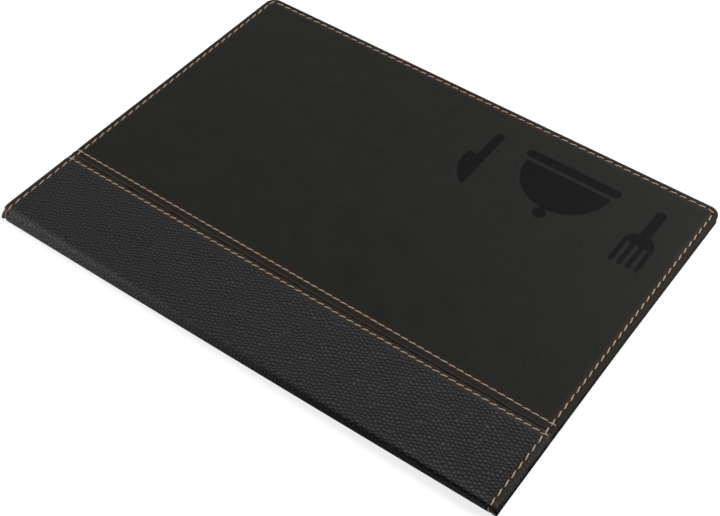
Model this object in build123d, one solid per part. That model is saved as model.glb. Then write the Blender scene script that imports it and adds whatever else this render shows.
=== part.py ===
from build123d import *
import os

os.makedirs("parts", exist_ok=True)

# A portrait menu cover, closed and lying on its back cover. All sizes are in millimetres.
# While modelling, X runs from the spine face (0) to the fore-edge, Y from the tail to the head
# with 0 half way, and Z up from the underside. Saving moves the middle of the width to X = 0.
LENGTH = 240.0  # head edge to tail edge
WIDTH = 172.5  # spine face to fore-edge
CORNER_RADIUS = 5.0  # fore-edge corners of each cover
EDGE_ROUNDING = 0.3  # where the skin rolls over the edge of the board

# Layers of one cover, from the outside in
SKIN = 0.4  # leatherette
BOARD = 0.45  # greyboard
TURN_IN = 0.2  # skived margin of the skin, turned over the board
LINING = 0.25  # woven lining
TURN_IN_WIDTH = 10.0
LINING_MARGIN = 1.0  # edge of the cover to edge of the lining

# Folds between the spine and the two covers
FOLD_GAP = 0.2  # between the wall of the spine and the end of a cover

# Grained band along the spine and smooth panel, joined by a seam with a row of stitches each side
JOIN_X = 38.6
JOIN_GAP = 0.4
BAND_ROW_X = 36.3
PANEL_ROW_X = 41.7
SEAM_PITCH = 3.6
SEAM_STITCH = 3.0

# Row of stitches along head, fore-edge and tail
STITCH_MARGIN = 2.4
EDGE_PITCH = 4.4
EDGE_STITCH = 3.1
ROW_START = 1.2  # from the end of a cover at the spine to the first stitch hole
ROW_CLEARANCE = 1.2  # between the seam rows and the row along the edge

# Thread, which lies in a pressed groove
THREAD = 0.52
THREAD_DEPTH = 0.22
THREAD_SINK = 0.03  # face of the skin to the top of the thread
THREAD_SLANT = 0.15  # how far each end of a stitch lies off the row
GROOVE_CLEARANCE = 0.1

# Clear double sleeve for A5 pages, one pocket on each side of the spine
PAGE_WIDTH = 148.0
PAGE_LENGTH = 210.0
PAGE_CLEARANCE = 3.0  # room in the pocket, in all, each way
FILM = 0.1
WELD_WIDTH = 2.5
MOUTH_LIP = 2.5  # film beyond the page at the open head of the pocket
LEAF_CLEARANCE = 0.18  # between a leaf and its cover

# Binding tape, folded round the elastic and welded between the films
TAPE = 0.1
TAPE_WIDTH = 8.5
TAPE_BARE = 3.0  # tape that shows beside the films
TAPE_START = 0.7  # from the elastic's axis to where the flat tape starts

# Elastic cord along the inside of the spine, with a metal barb at each end
CORD = 0.8
CORD_CLEARANCE = 0.02  # between cord and tape
CORD_HOLE_CLEARANCE = 0.15
CORD_BEND = 0.7
HOLE_FROM_EDGE = 6.5  # head or tail edge to the cord's hole
BARB_LENGTH = 6.0
BARB_WIDTH = 1.5
BARB_THICKNESS = 0.45
BARB_CLEARANCE = 0.2

# Debossed sign on the front: a fork, a domed dish cover and a knife, their tops to the spine
SIGN_DEPTH = 0.2
SIGN_CENTRE_X = 139.2
SIGN_CENTRE_Y = -59.0
SIGN_GAP = 11.9
SIGN_HEIGHT = 35.3
TINE_WIDTH = 2.2
TINE_GAP = 1.6
TINE_LENGTH = 13.0
TINE_COUNT = 4
HANDLE_WIDTH = 4.6
DOME_RADIUS = 20.5
DOME_KNOB_RADIUS = 3.0
DISH_WIDTH = 46.0
DISH_THICKNESS = 4.6
DISH_GAP = 2.0
BLADE_WIDTH = 8.6
BLADE_LENGTH = 19.0
BELLY_FROM_BACK = 7.1  # a point of the blade's curved edge
BELLY_ABOVE_SHOULDER = 11.8

# What follows from the sizes above
COVER = SKIN + BOARD + TURN_IN + LINING
TAPE_IN = CORD / 2 + CORD_CLEARANCE
TAPE_OUT = TAPE_IN + TAPE
LEAF_OUT = TAPE_OUT + FILM
THICKNESS = 2 * (COVER + LEAF_CLEARANCE + LEAF_OUT)
MIDDLE = THICKNESS / 2
COVER_START = COVER + FOLD_GAP
FOLD = COVER / 2  # each fold turns about the middle of the wall's rounded end
LEAF_AXIS_X = COVER + LEAF_CLEARANCE + LEAF_OUT
GROOVE_DEPTH = THREAD_SINK + THREAD_DEPTH
GROOVE_WIDTH = THREAD + 2 * THREAD_SLANT + 2 * GROOVE_CLEARANCE
SLEEVE_START = LEAF_AXIS_X + TAPE_START + TAPE_BARE
POCKET_START = LEAF_AXIS_X + TAPE_START + TAPE_WIDTH
POCKET_END = POCKET_START + PAGE_WIDTH + PAGE_CLEARANCE
SLEEVE_END = POCKET_END + WELD_WIDTH
SLEEVE_LENGTH = PAGE_LENGTH + PAGE_CLEARANCE + WELD_WIDTH + MOUTH_LIP
HOLE_Y = LENGTH / 2 - HOLE_FROM_EDGE


def block(x_from, x_to, y_from, y_to, z_from, z_to):
    """A box between two corners."""
    size = (x_to - x_from, y_to - y_from, z_to - z_from)
    middle = Pos((x_from + x_to) / 2, (y_from + y_to) / 2, (z_from + z_to) / 2)
    return middle * Box(*size)


def layer(x_from, inset, z_from, thickness):
    """A flat layer of a cover, drawn in from its three free edges, with rounded fore-edge corners."""
    across = WIDTH - inset - x_from
    along = LENGTH - 2 * inset
    outline = Pos(x_from + across / 2, 0) * Rectangle(across, along)
    corners = outline.vertices().group_by(Axis.X)[-1]
    radius = CORNER_RADIUS - inset
    if radius > EDGE_ROUNDING:
        outline = fillet(corners, radius)
    return Pos(0, 0, z_from) * extrude(outline, thickness)


def edge_row():
    """The line of the stitches along head, fore-edge and tail."""
    x_from = COVER_START + ROW_START
    x_to = WIDTH - STITCH_MARGIN
    y = LENGTH / 2 - STITCH_MARGIN
    points = ((x_from, y), (x_to, y), (x_to, -y), (x_from, -y))
    return FilletPolyline(*points, radius=CORNER_RADIUS - STITCH_MARGIN)


def seam_row(x):
    """The line of one row of stitches beside the seam."""
    y = LENGTH / 2 - STITCH_MARGIN - ROW_CLEARANCE
    return Line((x, y), (x, -y))


def stitch(row, middle, length):
    """One float of thread: a flat ribbon with three stations along its row, its ends to each side."""
    left = []
    right = []
    for share in (-0.5, 0, 0.5):
        place = middle + share * length / row.length
        point = row @ place
        across = (row % place).rotate(Axis.Z, 90)
        shift = 2 * share * THREAD_SLANT
        left.append(point + across * (shift + THREAD / 2))
        right.append(point + across * (shift - THREAD / 2))
    outline = make_face(Polyline(*left, *reversed(right), close=True))
    return Pos(0, 0, THREAD_SINK) * extrude(outline, THREAD_DEPTH)


def stitches(row, pitch, length):
    """Stitches evenly spaced along a row, as near the pitch as whole stitches allow."""
    count = round(row.length / pitch)
    return Compound([stitch(row, (i + 0.5) / count, length).solid() for i in range(count)])


def cover_skin():
    """The skin of the back cover as a tray: outer face, rolled edges and the margin turned in."""
    skin = layer(COVER_START, 0, 0, COVER - LINING)
    underside = skin.faces().sort_by(Axis.Z)[0]
    free_edges = underside.edges().sort_by(Axis.X)[1:]
    skin = fillet(free_edges, EDGE_ROUNDING)
    skin -= layer(COVER_START - FOLD_GAP, SKIN, SKIN, BOARD)
    skin -= layer(COVER_START - FOLD_GAP, TURN_IN_WIDTH, SKIN + BOARD, TURN_IN)
    outside = layer(COVER_START - FOLD_GAP, STITCH_MARGIN - GROOVE_WIDTH / 2, 0, GROOVE_DEPTH)
    inside = layer(COVER_START - 2 * FOLD_GAP, STITCH_MARGIN + GROOVE_WIDTH / 2, 0, GROOVE_DEPTH)
    skin -= outside - inside
    for x in (BAND_ROW_X, PANEL_ROW_X):
        row_end = LENGTH / 2 - STITCH_MARGIN
        sides = (x - GROOVE_WIDTH / 2, x + GROOVE_WIDTH / 2)
        skin -= block(*sides, -row_end, row_end, 0, GROOVE_DEPTH)
    return skin


def upright(sketch):
    """Turns a shape drawn upright so that its top points to the spine, at the middle of the sign."""
    return Pos(SIGN_CENTRE_X, SIGN_CENTRE_Y) * Rot(0, 0, 90) * sketch


def fork_sign():
    """Four rounded tines on a rounded root, and a handle."""
    head_width = TINE_COUNT * TINE_WIDTH + (TINE_COUNT - 1) * TINE_GAP
    top = SIGN_HEIGHT / 2
    root = Pos(0, top - TINE_LENGTH) * Circle(head_width / 2)
    above_root = Pos(0, top - TINE_LENGTH + head_width / 2) * Rectangle(head_width, head_width)
    sign = root - above_root
    for i in range(TINE_COUNT):
        x = (i - (TINE_COUNT - 1) / 2) * (TINE_WIDTH + TINE_GAP)
        tine = SlotOverall(TINE_LENGTH + TINE_WIDTH, TINE_WIDTH, rotation=90)
        sign += Pos(x, top - (TINE_LENGTH + TINE_WIDTH) / 2) * tine
    handle_length = SIGN_HEIGHT - TINE_LENGTH
    handle = SlotOverall(handle_length, HANDLE_WIDTH, rotation=90)
    return sign + Pos(0, -SIGN_HEIGHT / 2 + handle_length / 2) * handle


def dome_sign():
    """A half-round dome with a knob, over a flat dish."""
    bottom = -SIGN_HEIGHT / 2
    dome_bottom = bottom + DISH_THICKNESS + DISH_GAP
    below_dome = Pos(0, dome_bottom - DOME_RADIUS) * Rectangle(2 * DOME_RADIUS, 2 * DOME_RADIUS)
    dome = Pos(0, dome_bottom) * Circle(DOME_RADIUS) - below_dome
    knob = Pos(0, dome_bottom + DOME_RADIUS + DOME_KNOB_RADIUS) * Circle(DOME_KNOB_RADIUS)
    stem_height = 2 * DOME_KNOB_RADIUS
    stem = Pos(0, dome_bottom + DOME_RADIUS) * Rectangle(DOME_KNOB_RADIUS, stem_height)
    dish = Pos(0, bottom + DISH_THICKNESS / 2) * SlotOverall(DISH_WIDTH, DISH_THICKNESS)
    return dome + stem + knob + dish


def knife_sign():
    """A blade with one straight and one curved edge, and a handle."""
    top = SIGN_HEIGHT / 2
    shoulder = top - BLADE_LENGTH
    back = -BLADE_WIDTH / 2
    tip = (back, top)
    heel = (back + BLADE_WIDTH, shoulder)
    belly = ThreePointArc(tip, (back + BELLY_FROM_BACK, shoulder + BELLY_ABOVE_SHOULDER), heel)
    sides = Polyline(heel, (back, shoulder), tip)
    handle_length = SIGN_HEIGHT - BLADE_LENGTH + HANDLE_WIDTH
    handle = SlotOverall(handle_length, HANDLE_WIDTH, rotation=90)
    handle_x = back + HANDLE_WIDTH / 2
    return make_face(belly + sides) + Pos(handle_x, -SIGN_HEIGHT / 2 + handle_length / 2) * handle


def sign_recess():
    """The three shapes side by side, as deep as they are pressed into the front panel."""
    fork_width = TINE_COUNT * TINE_WIDTH + (TINE_COUNT - 1) * TINE_GAP
    fork_place = -(DISH_WIDTH + fork_width) / 2 - SIGN_GAP
    knife_place = (DISH_WIDTH + BLADE_WIDTH) / 2 + SIGN_GAP
    shapes = (Pos(fork_place, 0) * fork_sign(), dome_sign(), Pos(knife_place, 0) * knife_sign())
    floor = Pos(0, 0, THICKNESS - SIGN_DEPTH)
    return [floor * extrude(upright(shape), SIGN_DEPTH) for shape in shapes]


def back_cover_pieces():
    """Board, infill, both skins, lining and stitches of the back cover."""
    skin = cover_skin()
    join_from = JOIN_X - JOIN_GAP / 2
    join_to = JOIN_X + JOIN_GAP / 2
    row = edge_row()
    return {
        "board": layer(COVER_START, SKIN, SKIN, BOARD),
        "infill": layer(COVER_START, TURN_IN_WIDTH, SKIN + BOARD, TURN_IN),
        "skin_band": skin & block(0, join_from, -LENGTH, LENGTH, 0, COVER),
        "skin_panel": skin & block(join_to, 2 * WIDTH, -LENGTH, LENGTH, 0, COVER),
        "lining": layer(COVER_START, LINING_MARGIN, COVER - LINING, LINING),
        "edge_stitches": stitches(row, EDGE_PITCH, EDGE_STITCH),
        "seam_stitches_band_side": stitches(seam_row(BAND_ROW_X), SEAM_PITCH, SEAM_STITCH),
        "seam_stitches_panel_side": stitches(seam_row(PANEL_ROW_X), SEAM_PITCH, SEAM_STITCH),
    }


def back_leaf_pieces():
    """The lower pocket of the sleeve: two films, the weld along two sides and the flat tape."""
    half = SLEEVE_LENGTH / 2
    outer_z = MIDDLE - LEAF_OUT
    middle_z = outer_z + FILM
    inner_z = middle_z + TAPE
    weld = block(POCKET_START, SLEEVE_END, -half, half, middle_z, inner_z)
    page_room = (POCKET_START, POCKET_END, WELD_WIDTH - half, half)
    return {
        "sleeve_outer_film": block(SLEEVE_START, SLEEVE_END, -half, half, outer_z, middle_z),
        "sleeve_inner_film": block(SLEEVE_START, SLEEVE_END, -half, half, inner_z, inner_z + FILM),
        "sleeve_weld": weld - block(*page_room, middle_z, inner_z),
        "binding_tape": block(LEAF_AXIS_X + TAPE_START, POCKET_START, -half, half, middle_z, inner_z),
    }


def spine_pieces():
    """The wall between the covers, the elastic inside it and the fold of the binding tape."""
    half = LENGTH / 2
    profile = Pos(COVER / 2, MIDDLE) * SlotOverall(THICKNESS, COVER, rotation=90)
    skin = extrude(Plane.XZ * profile, half, both=True)
    skin -= block(SKIN, 2 * COVER, SKIN - half, half - SKIN, FOLD, THICKNESS - FOLD)
    row_y = half - STITCH_MARGIN
    threads = []
    for y in (-row_y, row_y):
        groove_sides = (y - GROOVE_WIDTH / 2, y + GROOVE_WIDTH / 2)
        skin -= block(0, GROOVE_DEPTH, *groove_sides, 0, THICKNESS)
        thread_sides = (y - THREAD / 2, y + THREAD / 2)
        thread_ends = (MIDDLE - EDGE_STITCH / 2, MIDDLE + EDGE_STITCH / 2)
        threads.append(block(THREAD_SINK, GROOVE_DEPTH, *thread_sides, *thread_ends).solid())

    stiffener = block(SKIN, COVER - LINING, SKIN - half, half - SKIN, FOLD, THICKNESS - FOLD)
    lining_end = half - LINING_MARGIN
    lining = block(COVER - LINING, COVER, -lining_end, lining_end, FOLD, THICKNESS - FOLD)
    barb_face = SKIN + BARB_THICKNESS
    slot_length = BARB_LENGTH + 2 * BARB_CLEARANCE
    slot_width = BARB_WIDTH + 2 * BARB_CLEARANCE
    barbs = []
    for y in (-HOLE_Y, HOLE_Y):
        hole = Plane.YZ * Pos(y, MIDDLE) * Circle(CORD / 2 + CORD_HOLE_CLEARANCE)
        lining -= extrude(hole, 2 * COVER)
        stiffener -= Pos(COVER / 2, y, MIDDLE) * Box(COVER, slot_length, slot_width)
        barb_place = Pos((SKIN + barb_face) / 2, y, MIDDLE)
        barbs.append((barb_place * Box(BARB_THICKNESS, BARB_LENGTH, BARB_WIDTH)).solid())

    ends = (barb_face, HOLE_Y, MIDDLE), (barb_face, -HOLE_Y, MIDDLE)
    corners = (LEAF_AXIS_X, HOLE_Y, MIDDLE), (LEAF_AXIS_X, -HOLE_Y, MIDDLE)
    route = FilletPolyline(ends[0], *corners, ends[1], radius=CORD_BEND)
    cord = sweep(Plane(origin=route @ 0, z_dir=route % 0) * Circle(CORD / 2), path=route)

    ring = Circle(TAPE_OUT) - Circle(TAPE_IN)
    spine_side = Pos(-TAPE_OUT / 2, 0) * Rectangle(TAPE_OUT, 2 * TAPE_OUT)
    fold_profile = Plane.XZ * Pos(LEAF_AXIS_X, MIDDLE) * (ring & spine_side)
    return {
        "spine_skin": skin,
        "spine_stiffener": stiffener,
        "spine_lining": lining,
        "spine_end_stitches": Compound(threads),
        "elastic_cord": cord,
        "cord_barbs": Compound(barbs),
        "binding_fold": extrude(fold_profile, SLEEVE_LENGTH / 2, both=True),
    }


pieces = spine_pieces()
half_way_up = Plane.XY.offset(MIDDLE)
for name, shape in (back_cover_pieces() | back_leaf_pieces()).items():
    pieces["back_" + name] = shape
    pieces["front_" + name] = mirror(shape, about=half_way_up)
for recess in sign_recess():
    pieces["front_skin_panel"] -= recess

for name, shape in pieces.items():
    export_step(Pos(-WIDTH / 2, 0, 0) * shape, f"parts/{name}.step")

print(f"thickness {THICKNESS:.2f}, fold axes at {FOLD:.3f} and {THICKNESS - FOLD:.3f},")
print(f"leaf axis at x {LEAF_AXIS_X - WIDTH / 2:.3f}, z {MIDDLE:.3f}, {len(pieces)} nodes")
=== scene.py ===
import math

import bpy
import numpy as np
from mathutils import Matrix, Vector


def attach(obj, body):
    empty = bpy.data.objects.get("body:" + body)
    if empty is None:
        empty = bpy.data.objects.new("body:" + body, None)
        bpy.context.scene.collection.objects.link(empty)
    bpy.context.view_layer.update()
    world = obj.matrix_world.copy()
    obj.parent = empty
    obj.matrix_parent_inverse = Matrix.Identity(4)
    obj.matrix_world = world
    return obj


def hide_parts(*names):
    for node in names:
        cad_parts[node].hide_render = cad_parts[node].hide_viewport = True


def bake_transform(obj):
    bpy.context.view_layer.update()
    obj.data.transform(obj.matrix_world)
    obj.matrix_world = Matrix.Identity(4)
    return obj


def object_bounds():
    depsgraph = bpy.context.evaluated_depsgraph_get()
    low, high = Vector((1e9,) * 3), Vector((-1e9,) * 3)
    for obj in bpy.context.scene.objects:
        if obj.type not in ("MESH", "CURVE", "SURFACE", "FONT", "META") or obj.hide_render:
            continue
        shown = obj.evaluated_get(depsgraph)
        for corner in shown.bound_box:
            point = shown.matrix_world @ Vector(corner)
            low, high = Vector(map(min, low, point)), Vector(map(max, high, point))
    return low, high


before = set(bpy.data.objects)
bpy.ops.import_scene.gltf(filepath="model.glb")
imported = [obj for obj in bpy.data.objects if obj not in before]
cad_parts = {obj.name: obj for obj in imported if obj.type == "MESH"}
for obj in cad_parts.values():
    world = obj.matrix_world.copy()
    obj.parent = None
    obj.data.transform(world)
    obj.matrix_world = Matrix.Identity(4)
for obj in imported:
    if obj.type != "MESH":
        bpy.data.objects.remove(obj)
cad_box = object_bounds()


# The view and the studio: the cover lies on a large sheet of white paper before a white backdrop.
# Three soft lights stand round it: one high behind the fore-edge, one past the head and one low
# past the tail.
MM = 0.001
CAMERA_PLACE = Vector((-283.09, -219.65, 385.01)) * MM
CAMERA_RIGHT = Vector((0.580921, -0.813856, 0.012987))
CAMERA_UP = Vector((0.609104, 0.445244, 0.656315))
CAMERA_SENSOR = 36.0
CAMERA_LENS = 63.515
CAMERA_SHIFT = -0.0708
PAPER_SIZE = 8.0
PAPER_GAP = 0.1  # from the underside of the cover
PAPER_GLOW = 0.72
WHITE = "ffffff"
SOFTBOXES = (  # name, place and size in metres, and power in watts
    ("back_softbox", (0.68, -0.2, 0.7), 0.5, 5.5),
    ("head_softbox", (-0.69, 0.74, 0.42), 0.6, 4.0),
    ("tail_softbox", (0.3, -0.8, 0.34), 0.25, 3.4),
)


def linear(colour):
    """An sRGB hex colour as the linear red, green, blue and alpha that a shader takes."""
    parts = [int(colour[i : i + 2], 16) / 255 for i in (0, 2, 4)]
    return [p / 12.92 if p <= 0.04045 else ((p + 0.055) / 1.055) ** 2.4 for p in parts] + [1.0]


def add_node(tree, kind, inputs, **settings):
    """A new node with its properties set, and each input given a value or linked to an output."""
    new = tree.nodes.new(kind)
    for name, value in settings.items():
        setattr(new, name, value)
    for name, value in inputs.items():
        if isinstance(value, bpy.types.NodeSocket):
            tree.links.new(value, new.inputs[name])
        else:
            new.inputs[name].default_value = value
    return new


def new_material(name, follows=None):
    """An empty material, its node tree and what its pattern follows: its piece's own places
    (Object) or UVs (UV)."""
    made = bpy.data.materials.new(name)
    made.use_nodes = True
    tree = made.node_tree
    tree.nodes.clear()
    surface = None
    if follows == "UV":
        surface = add_node(tree, "ShaderNodeUVMap", {}, uv_map="UVMap").outputs[0]
    elif follows == "Object":
        surface = add_node(tree, "ShaderNodeTexCoord", {}).outputs["Object"]
    return made, tree, surface


def looked_at(tree):
    """1 where a surface is seen itself, mirrored or through a clear film, 0 where it lights."""
    path = add_node(tree, "ShaderNodeLightPath", {})
    seen = path.outputs["Is Camera Ray"]
    for ray in ("Is Glossy Ray", "Is Transmission Ray"):
        inputs = {0: seen, 1: path.outputs[ray]}
        seen = add_node(tree, "ShaderNodeMath", inputs, operation="MAXIMUM").outputs[0]
    return seen


bpy.ops.object.select_all(action="DESELECT")
bpy.ops.object.camera_add()
camera = bpy.context.object
back = CAMERA_RIGHT.cross(CAMERA_UP)
camera.matrix_world = Matrix((CAMERA_RIGHT, CAMERA_UP, back)).transposed().to_4x4()
camera.location = CAMERA_PLACE
camera.data.sensor_width = CAMERA_SENSOR
camera.data.lens = CAMERA_LENS
camera.data.shift_x = CAMERA_SHIFT
bpy.context.scene.camera = camera
bpy.context.scene.view_settings.view_transform = "Standard"

# Matt white paper scatters all light. Where it is looked at it glows as well, so that the floor
# comes out white to the eye and still keeps the cover's shadow.
bpy.ops.mesh.primitive_plane_add(size=PAPER_SIZE, location=(0, 0, -PAPER_GAP * MM))
paper = bpy.context.object
paper.name = "paper"
paper_white, tree, _ = new_material("matt_white_paper")
seen = looked_at(tree)
matt = add_node(tree, "ShaderNodeBsdfDiffuse", {"Color": linear("b0b0b0")})
glow = add_node(tree, "ShaderNodeEmission", {"Color": linear(WHITE), "Strength": PAPER_GLOW})
both = add_node(tree, "ShaderNodeAddShader", {0: matt.outputs[0], 1: glow.outputs[0]})
mix = add_node(tree, "ShaderNodeMixShader", {0: seen, 1: matt.outputs[0], 2: both.outputs[0]})
add_node(tree, "ShaderNodeOutputMaterial", {"Surface": mix.outputs[0]})
paper.data.materials.append(paper_white)

world = bpy.data.worlds.new("studio")
bpy.context.scene.world = world
world.use_nodes = True
tree = world.node_tree
tree.nodes.clear()
seen = looked_at(tree)
ambient = add_node(tree, "ShaderNodeBackground", {"Color": linear("e8ecf2"), "Strength": 0.25})
backdrop = add_node(tree, "ShaderNodeBackground", {"Color": linear(WHITE), "Strength": 1.0})
mix = add_node(
    tree, "ShaderNodeMixShader", {0: seen, 1: ambient.outputs[0], 2: backdrop.outputs[0]}
)
add_node(tree, "ShaderNodeOutputWorld", {"Surface": mix.outputs[0]})

for lamp_name, place, size, power in SOFTBOXES:
    bpy.ops.object.light_add(type="AREA", location=place)
    lamp = bpy.context.object
    lamp.name = lamp_name
    lamp.data.size = size
    lamp.data.energy = power
    lamp.rotation_euler = Vector(place).to_track_quat("Z", "Y").to_euler()


# Front and back panels: smooth black leatherette, glued over the board and turned in along head,
# fore-edge and tail. The edge beside the spine band is folded under and lies on the band as a low
# ridge. The front panel has a sign pressed into it: a fork, a covered dish and a knife.
SIDES = ((1, "front"), (-1, "back"))
SPINE_FACE = cad_box[0][0]
LENGTH = 240.0
WIDTH = 172.5
THICKNESS = 4.2
MIDDLE = THICKNESS / 2
CORNER_RADIUS = 5.0
SKIN_DEPTH = 1.05  # outer face of a cover to its turned-in margin
BAND_ROW_X = 36.3
PANEL_ROW_X = 41.7
STITCH_MARGIN = 2.4
NO_ROW = 9.0  # a distance to the stitches at which they no longer show on the skin
HEM = (  # inset from the edge and depth below the face, from the turned-in end to the flat face
    (4.0, 1.05), (2.4, 1.05), (0.8, 1.05), (0.34, 0.99), (0.1, 0.84), (0.0, 0.6), (0.03, 0.36),
    (0.16, 0.17), (0.42, 0.05), (0.8, 0.0), (1.2, -0.02), (1.6, 0.0), (1.95, 0.08), (2.2, 0.19),
    (2.4, 0.23), (2.6, 0.19), (2.9, 0.08), (3.4, 0.02), (4.2, 0.0), (5.3, 0.0), (6.5, 0.0),
)
PANEL_SEAM = (  # distance from the spine face and depth: folded edge, ridge, row of stitches
    (39.6, 0.37), (38.6, 0.37), (38.3, 0.33), (38.2, 0.24), (38.24, 0.14), (38.4, 0.06),
    (38.65, 0.0), (39.0, -0.02), (39.5, 0.02), (40.2, 0.08), (40.9, 0.14), (41.35, 0.2),
    (41.7, 0.23), (42.0, 0.18), (42.5, 0.06), (43.2, 0.0), (44.2, -0.01),
)
RIDGE_X = 38.75
SIGN_X = 139.2
SIGN_Y = -59.0
SIGN_HEIGHT = 35.3
SIGN_BAR = 4.6  # width of the handles and of the dish
SIGN_DEPTH = 0.2
SIGN_SOFTNESS = 0.3  # half of the width of its pressed slope
SIGN_GRID = 0.45  # spacing of the mesh under it
FORK_FROM_DISH = 41.7
KNIFE_FROM_DISH = 39.2
BACK_SHOWS_TO = 95.0  # from the spine to here the back's tail edge shows below the front's


def smoothstep(low, high, value):
    """0 at low, 1 at high and beyond, and a soft slope between them."""
    share = np.clip((value - low) / (high - low), 0, 1)
    return share * share * (3 - 2 * share)


def keep_values(piece, word, values):
    """Stores a number for each vertex of a piece, for its material to read."""
    kept = piece.data.attributes.new(word, "FLOAT", "POINT")
    kept.data.foreach_set("value", values.astype(np.float32).ravel())


def places_of(piece):
    """The places of a piece's vertices in mm, with x from the spine face."""
    places = np.empty(len(piece.data.vertices) * 3)
    piece.data.vertices.foreach_get("co", places)
    return places.reshape(-1, 3) / MM - np.array((SPINE_FACE / MM, 0, 0))


def grid_piece(name, places, out_is_up, row_distance=None):
    """A sheet from rows and columns of places in mm, smooth, with its distance to the stitches."""
    rows, columns = places.shape[:2]
    bpy.ops.object.select_all(action="DESELECT")
    bpy.ops.mesh.primitive_grid_add(x_subdivisions=columns - 1, y_subdivisions=rows - 1, size=1)
    piece = bpy.context.object
    piece.name = name
    piece.data.name = name
    metres = places.reshape(-1, 3) * MM + np.array((SPINE_FACE, 0, 0))
    piece.data.vertices.foreach_set("co", metres.ravel())
    if not out_is_up:
        bpy.ops.object.mode_set(mode="EDIT")
        bpy.ops.mesh.select_all(action="SELECT")
        bpy.ops.mesh.flip_normals()
        bpy.ops.object.mode_set(mode="OBJECT")
    bpy.ops.object.shade_smooth()
    if row_distance is None:
        row_distance = np.full((rows, columns), NO_ROW)
    keep_values(piece, "row_distance", row_distance)
    return piece


def cover_sheet(name, face, into, inside, start, hem, inner_x, inner_y, relief=None, sway=None):
    """A sheet on one face of a cover, this far inside its edges. start is its profile on the
    spine's side and hem its profile along the three others; the corners between those are round.
    into is -1 where depth goes down from the face and 1 where it goes up."""
    inset, depth = np.array(hem).T
    start_x, start_depth = np.array(start).T
    edge_x = WIDTH - inside
    edge_y = LENGTH / 2 - inside
    radius = CORNER_RADIUS - inside
    last = len(hem) - 1
    ranks = np.arange(len(hem))
    across_x = np.concatenate((start_x, inner_x, edge_x - inset[::-1]))
    across_rank = np.append(np.full(len(start) + len(inner_x), last), ranks[::-1])
    start_depth = np.append(start_depth, np.zeros(len(inner_x) + len(hem)))
    along_y = np.concatenate((inset - edge_y, inner_y, edge_y - inset[::-1]))
    along_rank = np.concatenate((ranks, np.full(len(inner_y), last), ranks[::-1]))
    x, y = np.meshgrid(across_x, along_y)
    p, q = np.meshgrid(across_rank, along_rank)
    lowest = np.minimum(p, q)
    highest = np.maximum(p, q)
    corner = (p < last) & (q < last)
    at = inset[lowest]
    turn = np.maximum(radius - at, 0)
    arc = turn * math.pi / 4
    straight = inset[last] - np.maximum(radius, at)
    share = (highest - lowest) / np.maximum(last - lowest, 1)
    way = share * (arc + straight)
    angle = math.pi / 4 * (1 + np.minimum(way / np.maximum(arc, 1e-6), 1))
    on_arc = way <= arc
    far = np.where(on_arc, radius - turn * np.cos(angle), np.maximum(radius, at) + way - arc)
    near = np.where(on_arc & (turn > 0), radius - turn * np.sin(angle), at)
    x = np.where(corner, edge_x - np.where(p < q, near, far), x)
    y = np.where(corner, np.sign(y) * (edge_y - np.where(p < q, far, near)), y)
    below = depth[lowest]
    below = below + start_depth[np.newaxis, :] * (1 - np.clip(below / depth[0], 0, 1))
    if relief is not None:
        below = below + relief(x, y)
    if sway is not None:
        x = x + sway(x, y)
    outer = lowest > int(np.argmin(inset))
    row_distance = np.where(outer, np.abs(at - STITCH_MARGIN), NO_ROW)
    for row_x in (PANEL_ROW_X, BAND_ROW_X):
        row_distance = np.minimum(row_distance, np.abs(x - row_x))
    places = np.stack((x, y, face + into * below), axis=-1)
    return grid_piece(name, places, into < 0, row_distance)


def slot_distance(u, v, x, bottom, top, width):
    """Distance to an upright bar with round ends."""
    half = width / 2
    rise = v - np.clip(v, bottom + half, top - half)
    return np.hypot(u - x, rise) - half


def fork_distance(u, v):
    """Distance to a fork: four tines on a rounded root, and a handle."""
    top = SIGN_HEIGHT / 2
    root_top = top - 13.0
    root_radius = 6.8
    tine_width = 2.2
    tine_spacing = 3.8
    root = np.maximum(np.hypot(u, v - root_top) - root_radius, v - root_top)
    shape = np.minimum(root, slot_distance(u, v, 0, -top, root_top, SIGN_BAR))
    for i in range(4):
        tine_x = (i - 1.5) * tine_spacing
        tine = slot_distance(u, v, tine_x, root_top - tine_width, top, tine_width)
        shape = np.minimum(shape, tine)
    return shape


def dome_distance(u, v):
    """Distance to a half-round dome with a knob, over a flat dish."""
    bottom = -SIGN_HEIGHT / 2
    dome_bottom = bottom + SIGN_BAR + 2.0
    dome_radius = 20.5
    knob_radius = 3.0
    dish_reach = 20.7
    dome_top = dome_bottom + dome_radius
    dome = np.maximum(np.hypot(u, v - dome_bottom) - dome_radius, dome_bottom - v)
    knob = np.hypot(u, v - (dome_top + knob_radius)) - knob_radius
    stem = np.maximum(np.abs(u) - knob_radius / 2, np.abs(v - dome_top) - knob_radius)
    rise = v - (bottom + SIGN_BAR / 2)
    dish = np.hypot(u - np.clip(u, -dish_reach, dish_reach), rise) - SIGN_BAR / 2
    return np.minimum(np.minimum(dome, knob), np.minimum(stem, dish))


def knife_distance(u, v):
    """Distance to a knife: a blade with one curved edge, and a handle."""
    top = SIGN_HEIGHT / 2
    shoulder = top - 19.0
    blade_back = -4.3
    middle_u = -12.45
    middle_v = 2.52
    radius = math.hypot(blade_back - middle_u, top - middle_v)
    blade = np.hypot(u - middle_u, v - middle_v) - radius
    blade = np.maximum(blade, np.maximum(blade_back - u, shoulder - v))
    return np.minimum(blade, slot_distance(u, v, -2.0, -top, shoulder + SIGN_BAR, SIGN_BAR))


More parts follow.
